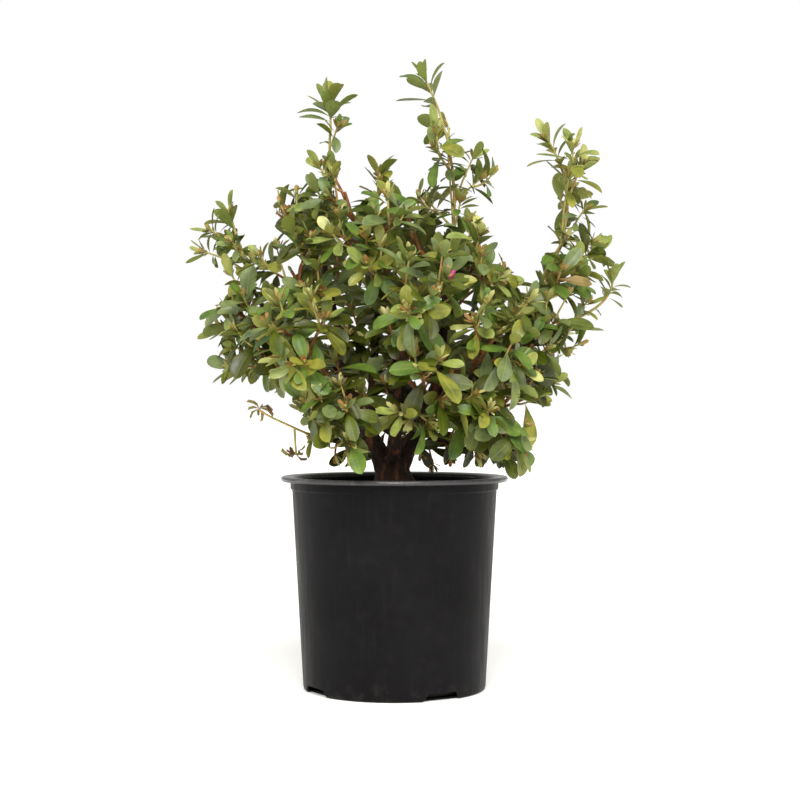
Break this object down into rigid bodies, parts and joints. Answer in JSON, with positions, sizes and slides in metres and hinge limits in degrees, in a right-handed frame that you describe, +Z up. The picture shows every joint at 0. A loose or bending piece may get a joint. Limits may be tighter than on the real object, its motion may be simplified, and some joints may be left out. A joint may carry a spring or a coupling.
{
  "type": "azalea shrub in a nursery pot",
  "caption": "Evergreen azalea shrub with a short flared trunk, arching boughs, leafy masses and tall young shoots, growing in a round tapered plastic nursery pot.",
  "frame": {"origin": "centre of the pot's flat underside, on the surface that it stands on", "axes": "+Z up along the pot's axis, -Y towards the side seen in the picture, +X to the right in that view"},
  "size_m": [0.4382, 0.3723, 0.64],
  "materials": {
    "pot": "satin black moulded plastic with fine rubbing marks and a greyer lip",
    "potting_mix": "rough damp bark and peat crumbs",
    "bark": "dull brown bark with fine lengthwise ridges",
    "foliage": "leathery green leaves with a soft sheen, paler on young shoots, on tan to reddish twigs"
  },
  "bodies": {
    "root": {"pot": "pot", "potting_mix": "potting_mix", "trunk": "bark", "bough_left": "bark", "bough_right": "bark", "bough_front": "bark", "bough_back": "bark", "bough_centre": "bark", "bough_left_rise": "bark", "bough_left_reach": "bark", "bough_left_tall": "bark", "bough_left_low": "bark", "bough_right_rise": "bark", "bough_right_reach": "bark", "bough_right_tall": "bark", "bough_right_low": "bark", "bough_front_rise": "bark", "bough_front_left": "bark", "bough_front_right": "bark", "bough_back_rise": "bark", "bough_back_left": "bark", "bough_back_right": "bark", "mass_crown_top": "foliage", "mass_left_peak": "foliage", "mass_front_high": "foliage", "mass_front_centre": "foliage", "mass_front_left": "foliage", "mass_front_low": "foliage", "mass_front_low_left": "foliage", "mass_front_low_right": "foliage", "mass_front_right": "foliage", "mass_front_right_high": "foliage", "mass_right_high": "foliage", "mass_right": "foliage", "mass_right_low": "foliage", "mass_left_high": "foliage", "mass_left": "foliage", "mass_left_low": "foliage", "mass_heart": "foliage", "mass_back_top": "foliage", "mass_back_high_left": "foliage", "mass_back_high_right": "foliage", "mass_back_left": "foliage", "mass_back_right": "foliage", "mass_back": "foliage", "mass_back_low_left": "foliage", "mass_back_low_right": "foliage", "wand_top": "foliage", "wand_upper_left": "foliage", "wand_upper_right": "foliage", "wand_left": "foliage", "wand_far_right": "foliage", "wand_low_left": "foliage"}
  },
  "joints": []
}
